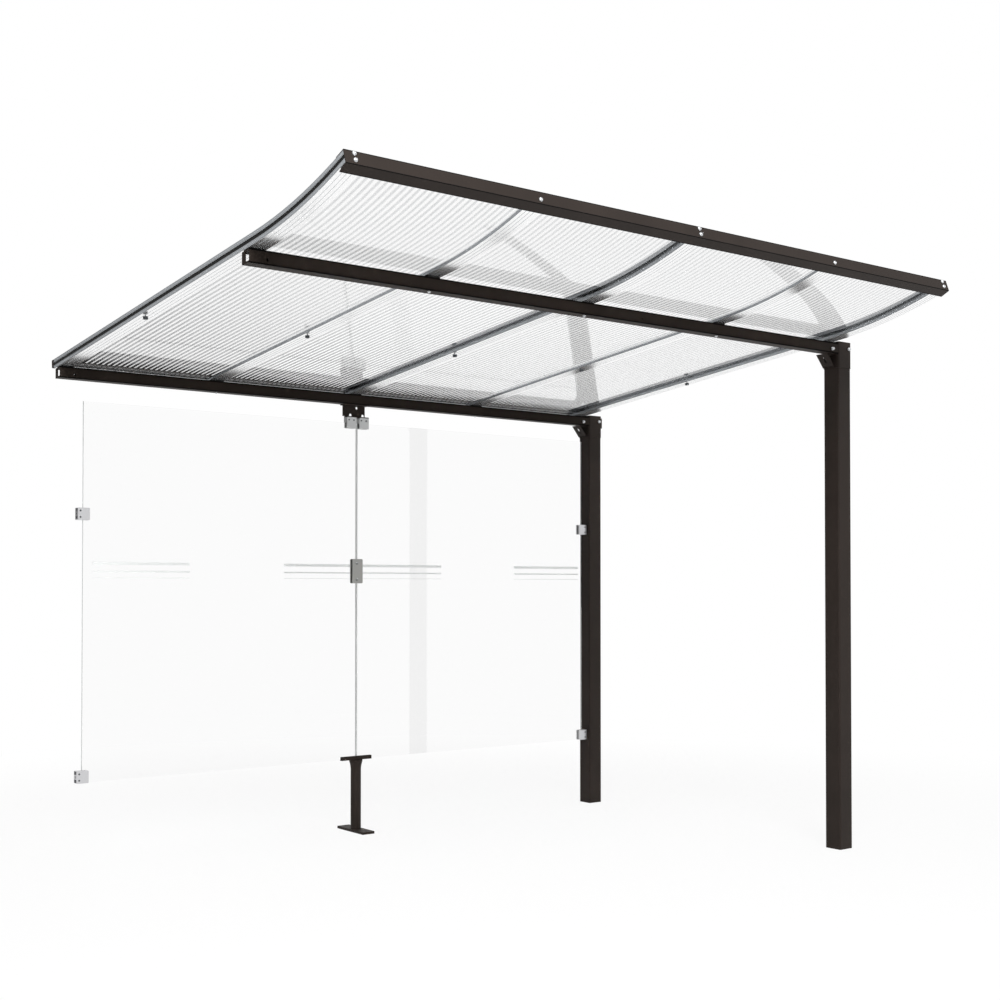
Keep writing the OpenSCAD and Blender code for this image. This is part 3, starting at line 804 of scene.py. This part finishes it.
class SHELTER_OT_fittings(bpy.types.Operator):
    """Finishes the clamps and the joint plates"""
    bl_idname = "shelter.fittings"
    bl_label = "Finish clamps and plates"

    def execute(self, context):
        finish = context.scene.shelter_finish
        give(SIDE_CLAMPS, cast_metal("Satin nickel-plated zinc casting", finish.fittings))
        # the top clamps' metal is a darker copy of the side clamps': painted shade under the roof
        give(TOP_CLAMPS, cast_metal("Satin zinc casting", finish.top_clamps_in_shade))
        give(JOINT_PLATES, cast_metal("Bead-blasted stainless steel", finish.plates))
        return {"FINISHED"}


class SHELTER_OT_rubber(bpy.types.Operator):
    """Gives seals, beads, pads and liners their rubber"""
    bl_idname = "shelter.rubber"
    bl_label = "Finish seals and liners"

    def execute(self, context):
        give(RUBBER, moulded_rubber("EPDM rubber", context.scene.shelter_finish.rubber))
        return {"FINISHED"}


class SHELTER_OT_bead_lips(bpy.types.Operator):
    """Presses the lips of the outer beads into the mouths of their slots"""
    bl_idname = "shelter.bead_lips"
    bl_label = "Fit the bead lips"

    def execute(self, context):
        sizes = context.scene.shelter_sheets
        slot = sizes.thickness / 2 + 0.5 * MM
        recess, chamfer = 1 * MM, 2 * MM
        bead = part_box("edge_beads")
        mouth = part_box("rafter_1")[0].x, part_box("rafter_5")[1].x
        bm = bmesh.new()
        for inner, outer in ((bead[0].x, mouth[0] + recess), (bead[1].x, mouth[1] - recess)):
            out = math.copysign(chamfer, outer - inner)
            outline = ((inner, -slot), (outer - out, -slot), (outer, chamfer - slot),
                       (outer, slot - chamfer), (outer - out, slot), (inner, slot))
            join_rings(bm, [[roof_point(x, along, sizes.middle + height)
                             for x, height in outline] for along in roof_steps(sizes.middle)])
        rubber = bpy.data.materials["EPDM rubber"]
        new_piece("bead_lips", mesh_of("bead_lips", bm), rubber)
        return {"FINISHED"}


class SHELTER_OT_glazing(bpy.types.Operator):
    """Gives the two panes their glass and their ground edges"""
    bl_idname = "shelter.glazing"
    bl_label = "Glaze the wall"

    def execute(self, context):
        finish = context.scene.shelter_finish
        give(PANES, float_glass("Toughened float glass", finish.glass))
        skin, seam = 0.3 * MM, 1 * MM
        bm = bmesh.new()
        for low, high in map(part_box, PANES):
            centre, size = middle(low, high), high - low
            for x in (low.x - skin / 2, high.x + skin / 2):
                add_bar(bm, (x, centre.y, centre.z), (skin, size.y - seam, size.z - 2 * seam))
        bmesh.ops.bevel(bm, geom=bm.edges[:], offset=skin / 3, segments=1, affect="EDGES")
        new_piece("pane_edges", mesh_of("pane_edges", bm),
                  matt_skin("Ground glass edge", finish.edges))
        return {"FINISHED"}


class SHELTER_OT_roof_sheets(bpy.types.Operator):
    """Makes the multiwall sheets of polycarbonate, with smooth sweeps"""
    bl_idname = "shelter.roof_sheets"
    bl_label = "Finish the roof sheets"

    def execute(self, context):
        finish = context.scene.shelter_finish
        sizes = context.scene.shelter_sheets
        clear = clear_polycarbonate("Clear multiwall polycarbonate", finish.sheet, sizes.pitch,
                                    finish.webs, finish.dust, REAR_PURLIN_LOW.y)
        stand = Matrix.Rotation(math.pi / 2, 4, "X")
        for node in SHEETS:
            low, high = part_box(node)
            x, width = middle(low, high).x, high.x - low.x
            places = [roof_place(x, along, sizes.middle) for along in roof_steps(sizes.middle)]
            line = bpy.data.meshes.new("roof line")
            line.from_pydata([place.to_translation() for place in places],
                             [(k, k + 1) for k in range(len(places) - 1)], [])
            values = {
                "Width": width, "Thickness": sizes.thickness, "Skin": sizes.skin,
                "Web": sizes.web, "Pitch": sizes.pitch, "Plastic": clear,
                "Channels": math.floor((width - sizes.web) / sizes.pitch),
            }
            for end, place in (("Front", places[0]), ("Rear", places[-1])):
                values[end] = place.to_translation()
                values[end + " turn"] = (place @ stand).to_euler("XYZ")
            tree = bpy.data.node_groups.get("Multiwall sheet") or sheet_tree()
            piece = grown(f"roof_{node}", line, tree, values, clear)
            mesh = piece.data
            face_outwards(mesh)
            shade_by_angle(mesh)
            across = mesh.attributes.new("across", "FLOAT", "POINT")
            across.data.foreach_set("value", [v.co.x - x for v in mesh.vertices])
            # 1 on the sheet's own underside, 0 on its top and in its channels
            outside = mesh.attributes.new("outside", "FLOAT", "POINT")
            edge = width / 2 - sizes.web / 4
            outside.data.foreach_set("value", [
                1.0 if abs(v.co.x - x) > edge and roof_height(v.co) < sizes.middle else 0.0
                for v in mesh.vertices])
            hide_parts(node)
        return {"FINISHED"}


class SHELTER_OT_end_tapes(bpy.types.Operator):
    """Seals the sheets' rear ends with foil tape folded round them"""
    bl_idname = "shelter.end_tapes"
    bl_label = "Tape the sheets' ends"

    def execute(self, context):
        sizes = context.scene.shelter_sheets
        film, lap, seated = 0.3 * MM, 12 * MM, 23 * MM
        half, rear = sizes.thickness / 2, roof_steps(sizes.middle)[-1]
        start, end, out = rear - lap, rear + film, half + film
        outline = ((start, -out), (end, -out), (end, out), (start, out), (start, half),
                   (rear, half), (rear, -half), (start, -half))
        bm = bmesh.new()
        for node in SHEETS:
            low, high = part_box(node)
            join_rings(bm, [[roof_point(x, along, sizes.middle + height)
                             for along, height in outline]
                            for x in (low.x + seated, high.x - seated)])
        foil = cast_metal("Aluminium foil tape", context.scene.shelter_finish.foil)
        new_piece("end_tapes", mesh_of("end_tapes", bm), foil)
        return {"FINISHED"}


class SHELTER_OT_bands(bpy.types.Operator):
    """Prints the safety bands on the front of the panes"""
    bl_idname = "shelter.bands"
    bl_label = "Print the safety bands"

    def execute(self, context):
        sizes = context.scene.shelter_bands
        ink = matt_skin("Fired enamel ink", context.scene.shelter_finish.bands)
        # each band's middle from the top height, and its width
        lines = ((1.5 * MM, 10.5 * MM), (-28 * MM, 6 * MM), (-51.5 * MM, 1.6 * MM))
        # each run of bands, in mm from a pane's left or right edge
        left, right = map(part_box, PANES)
        runs = ((left[0], 36, 416), (left[1], -334, -30), (right[0], 26, 421),
                (right[1], -399, -23))
        bm = bmesh.new()
        for edge, start, end in runs:
            for rise, width in lines:
                centre = (edge.x + (start + end) / 2 * MM, left[0].y - sizes.thickness,
                          sizes.top + rise)
                add_bar(bm, centre, ((end - start) * MM, sizes.thickness, width))
        new_piece("safety_bands", mesh_of("safety_bands", bm), ink)
        return {"FINISHED"}


class SHELTER_OT_cap_nuts(bpy.types.Operator):
    """Bolts the purlins to the post heads with cap nuts"""
    bl_idname = "shelter.cap_nuts"
    bl_label = "Fit the cap nuts"

    def execute(self, context):
        sizes = context.scene.shelter_fasteners
        zinc = cast_metal("Zinc-plated steel", context.scene.shelter_finish.zinc, 0.2, 0.34)
        # each nut's x, and its height over the purlin's underside
        bolts = ((-75 * MM, 15 * MM), (21 * MM, 22 * MM))
        places = [facing(x, low.y, low.z + rise, (0, -1, 0))
                  for low in (PURLIN_LOW, REAR_PURLIN_LOW) for x, rise in bolts]
        fasteners("head_cap_nuts", cap_nut(), places, sizes.dome_width, sizes.dome_height, zinc)
        return {"FINISHED"}


class SHELTER_OT_fascia_screws(bpy.types.Operator):
    """Screws the fascia to the rafters and caps"""
    bl_idname = "shelter.fascia_screws"
    bl_label = "Screw on the fascia"

    def execute(self, context):
        sizes = context.scene.shelter_fasteners
        out = Matrix.Translation((2.5 * MM, -FASCIA_T, 0)) @ Matrix.Rotation(math.pi / 2, 4, "X")
        places = []
        for index, node in enumerate(RAFTERS, 1):
            x = middle(*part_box(node)).x
            # joint rafters take a second screw, in their cap
            for height in (11 * MM, 30 * MM) if index % 2 else (12 * MM,):
                places.append(roof_place(x, FRONT_END, height) @ out)
        fasteners("fascia_screws", button_head(), places, sizes.fascia_width,
                  sizes.fascia_height, bpy.data.materials["Zinc-plated steel"])
        return {"FINISHED"}


class SHELTER_OT_clamp_screws(bpy.types.Operator):
    """Screws through the glass clamps and the joint plates"""
    bl_idname = "shelter.clamp_screws"
    bl_label = "Screw the clamps"

    def execute(self, context):
        sizes = context.scene.shelter_fasteners
        dark = cast_metal("Black-oxide steel", context.scene.shelter_finish.dark_steel)
        half_pitch, inset, aside = 11.5 * MM, 10 * MM, 2 * MM
        spots = []
        for node in SIDE_CLAMPS:
            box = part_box(node)
            x = box[0].x + inset if "left" in node else box[1].x - inset
            spots += [(box, x, middle(*box).z + rise) for rise in (-half_pitch, half_pitch)]
        for node in TOP_CLAMPS:
            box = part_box(node)
            spots += [(box, middle(*box).x - aside + step, box[1].z - 11 * MM)
                      for step in (-half_pitch, half_pitch)]
        places = [facing(x, box[face].y, z, (0, 2 * face - 1, 0))
                  for box, x, z in spots for face in (0, 1)]
        fasteners("clamp_screws", socket_screw(), places, sizes.clamp_width, 1 * MM, dark)
        # painted shade: a dark disc under each of the plates' button heads, with the head a
        # little above the disc's middle
        half_pitch, aside, above = 33 * MM, 4 * MM, 1.5 * MM
        screws, shade_discs = [], []
        for face, node in enumerate(JOINT_PLATES):
            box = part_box(node)
            centre = middle(*box)
            for rise in (-half_pitch, half_pitch):
                for rows, step in ((shade_discs, -above), (screws, above)):
                    rows.append(facing(centre.x - aside, box[face].y, centre.z + rise + step,
                                       (0, 2 * face - 1, 0)))
        fasteners("plate_wells", socket_screw(), shade_discs, 9 * MM, 0.5 * MM, dark)
        fasteners("plate_screws", button_head(), screws, 7 * MM, 3 * MM,
                  bpy.data.materials["Zinc-plated steel"])
        return {"FINISHED"}


class SHELTER_OT_rafter_nuts(bpy.types.Operator):
    """Nuts that hold the rafters, under the purlins and midway under the sheets"""
    bl_idname = "shelter.rafter_nuts"
    bl_label = "Fit the rafter nuts"

    def execute(self, context):
        sizes = context.scene.shelter_fasteners
        midway = (700 * MM - BEND_Y) / math.cos(ROOF_SLOPE)
        down, below = Matrix.Rotation(math.pi, 4, "X"), (0, 0, -1)
        under, hung = [], []
        # each nut midway hangs beside its rafter's middle by its own offset in mm
        offsets = (-12, -18, -16, -19, -24)
        for index, (node, offset) in enumerate(zip(RAFTERS, offsets), 1):
            x = middle(*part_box(node)).x
            joint = index % 2 == 1
            # the inner rafters are bolted to the front purlin, the plain ones to both
            if 1 < index < 5:
                under.append(facing(x - 12 * MM, PURLIN_LOW.y + 12 * MM, PURLIN_LOW.z, below))
            if not joint:
                under.append(facing(x, REAR_PURLIN_LOW.y + 23 * MM, REAR_PURLIN_LOW.z, below))
            height = 0 if joint else 3.5 * MM
            hung.append(roof_place(x + offset * MM, midway, height) @ down)
        fasteners("purlin_nuts", hex_bolt_end(), under, sizes.nut_width, 6 * MM,
                  bpy.data.materials["Zinc-plated steel"])
        fasteners("rafter_nuts", hanging_nut(), hung, sizes.nut_width * 1.4, 14 * MM,
                  bpy.data.materials["Black-oxide steel"])
        return {"FINISHED"}


def studio_floor(centre):
    """White paper under the part, out to the horizon."""
    bm = bmesh.new()
    bmesh.ops.create_circle(bm, cap_ends=True, segments=96, radius=60.0)
    floor = linked("studio_floor", mesh_of("studio_floor", bm))
    floor.location = (0, 0, -0.5 * MM)
    mat, tree = material("Matt white paper")
    # white to the eye, through glass and in a mirror, but not as a lamp on matt parts
    rays = add(tree, "ShaderNodeLightPath").outputs
    seen = calc(tree, "MAXIMUM", rays["Is Camera Ray"],
                calc(tree, "MAXIMUM", rays["Is Glossy Ray"], rays["Is Transmission Ray"]))
    seen = times(tree, calc(tree, "LESS_THAN", rays["Diffuse Depth"], 0.5), seen)
    # a little less so close to the part, where its faint shadow falls
    away = measure(tree, "DISTANCE", object_place(tree), (centre.x, centre.y, 0))
    share = times(tree, seen, ease(tree, away, 1.8, 4.5, 0.88, 1.0))
    paper = made(tree, "ShaderNodeBsdfDiffuse", Color=(0.88, 0.88, 0.88, 1))
    white = made(tree, "ShaderNodeEmission", Color=(1, 1, 1, 1), Strength=1.0)
    floor.data.materials.append(finished(mat, mixed(tree, share, paper, white)))


def studio_world(daylight, dark_side):
    """Soft light from all round, and plain white behind the part."""
    world = bpy.data.worlds.new("Studio")
    bpy.context.scene.world = world
    world.use_nodes = True
    tree = world.node_tree
    tree.nodes.clear()
    rays = add(tree, "ShaderNodeLightPath").outputs
    # the side behind the free end of the purlins is dimmer, as by a dark studio wall
    way = add(tree, "ShaderNodeTexCoord").outputs["Generated"]
    aside = measure(tree, "DOT_PRODUCT", way, (-0.82, 0.57, 0.0))
    # and darkest near the horizon, where it stands for the dark end of the studio
    rise = calc(tree, "ABSOLUTE", axis(tree, way, "Z"))
    deep = ease(tree, rise, 0.09, 0.22, 0.02, dark_side)
    level = times(tree, ease(tree, aside, 0.35, 0.9, 1.0, deep),
                  spread(tree, rays["Diffuse Depth"], 1.0, daylight))
    bounces = calc(tree, "ADD", rays["Diffuse Depth"], rays["Glossy Depth"])
    straight = calc(tree, "MAXIMUM", rays["Is Camera Ray"], rays["Is Transmission Ray"])
    backdrop = times(tree, calc(tree, "LESS_THAN", bounces, 0.5), straight)
    sky = made(tree, "ShaderNodeBackground", Color=(1, 1, 1, 1),
               Strength=spread(tree, backdrop, level, 1.0))
    add(tree, "ShaderNodeOutputWorld", Surface=sky)


def studio_lamp(power, centre):
    """A large soft lamp, high in front of the free end."""
    light = bpy.data.lights.new("Key light", "AREA")
    light.shape = "RECTANGLE"
    light.size, light.size_y = 3.5, 2.5
    light.energy = power
    lamp = linked("Key light", light)
    lamp.location = (-3.8, -4.0, 5.2)
    lamp.rotation_euler = (centre - lamp.location).to_track_quat("-Z", "Y").to_euler()


def studio_camera(lens):
    """The camera, at eye height in front of the free end."""
    camera = bpy.data.cameras.new("Camera")
    camera.lens = lens
    camera.sensor_width = 36.0
    camera.shift_y = 0.0619
    camera.clip_end = 200.0
    eye = linked("Camera", camera)
    eye.location = (-4.32066, -3.50483, 1.00685)
    eye.rotation_euler = (math.radians(90 + 0.968), 0, math.radians(-37.407))
    bpy.context.scene.camera = eye


class SHELTER_OT_studio(bpy.types.Operator):
    """Pale floor, soft light and the camera"""
    bl_idname = "shelter.studio"
    bl_label = "Set up the studio"

    def execute(self, context):
        sizes = context.scene.shelter_studio
        centre = middle(Vector(CAD_BOX[0]), Vector(CAD_BOX[1]))
        studio_floor(centre)
        studio_world(sizes.daylight, sizes.dark_side)
        studio_lamp(sizes.key, centre)
        studio_camera(sizes.lens)
        context.scene.view_settings.view_transform = "Standard"
        return {"FINISHED"}


OPERATORS = (
    SHELTER_OT_frame_coat, SHELTER_OT_bars, SHELTER_OT_fittings, SHELTER_OT_rubber,
    SHELTER_OT_bead_lips, SHELTER_OT_glazing, SHELTER_OT_roof_sheets, SHELTER_OT_end_tapes,
    SHELTER_OT_bands, SHELTER_OT_cap_nuts, SHELTER_OT_fascia_screws, SHELTER_OT_clamp_screws,
    SHELTER_OT_rafter_nuts, SHELTER_OT_studio,
)
SETTINGS = {
    "shelter_finish": ShelterFinish, "shelter_fasteners": ShelterFasteners,
    "shelter_sheets": ShelterSheets, "shelter_bands": ShelterBands,
    "shelter_studio": ShelterStudio,
}


class SHELTER_PT_panel(bpy.types.Panel):
    """Sidebar panel with the shelter's sizes, colours and steps"""
    bl_idname = "SHELTER_PT_panel"
    bl_label = "Cycle shelter bay"
    bl_space_type = "VIEW_3D"
    bl_region_type = "UI"
    bl_category = "Shelter"

    def draw(self, context):
        layout = self.layout
        for name in SETTINGS:
            group = getattr(context.scene, name)
            box = layout.box()
            for key in group.__annotations__:
                box.prop(group, key)
        for operator in OPERATORS:
            layout.operator(operator.bl_idname)


CLASSES = (*SETTINGS.values(), *OPERATORS, SHELTER_PT_panel)


def register():
    for item in CLASSES:
        bpy.utils.register_class(item)
    for name, group in SETTINGS.items():
        setattr(bpy.types.Scene, name, bpy.props.PointerProperty(type=group))


def unregister():
    for name in SETTINGS:
        delattr(bpy.types.Scene, name)
    for item in reversed(CLASSES):
        bpy.utils.unregister_class(item)


def main():
    register()
    for operator in OPERATORS:
        module, name = operator.bl_idname.split(".")
        getattr(getattr(bpy.ops, module), name)()


if __name__ == "__main__":
    main()
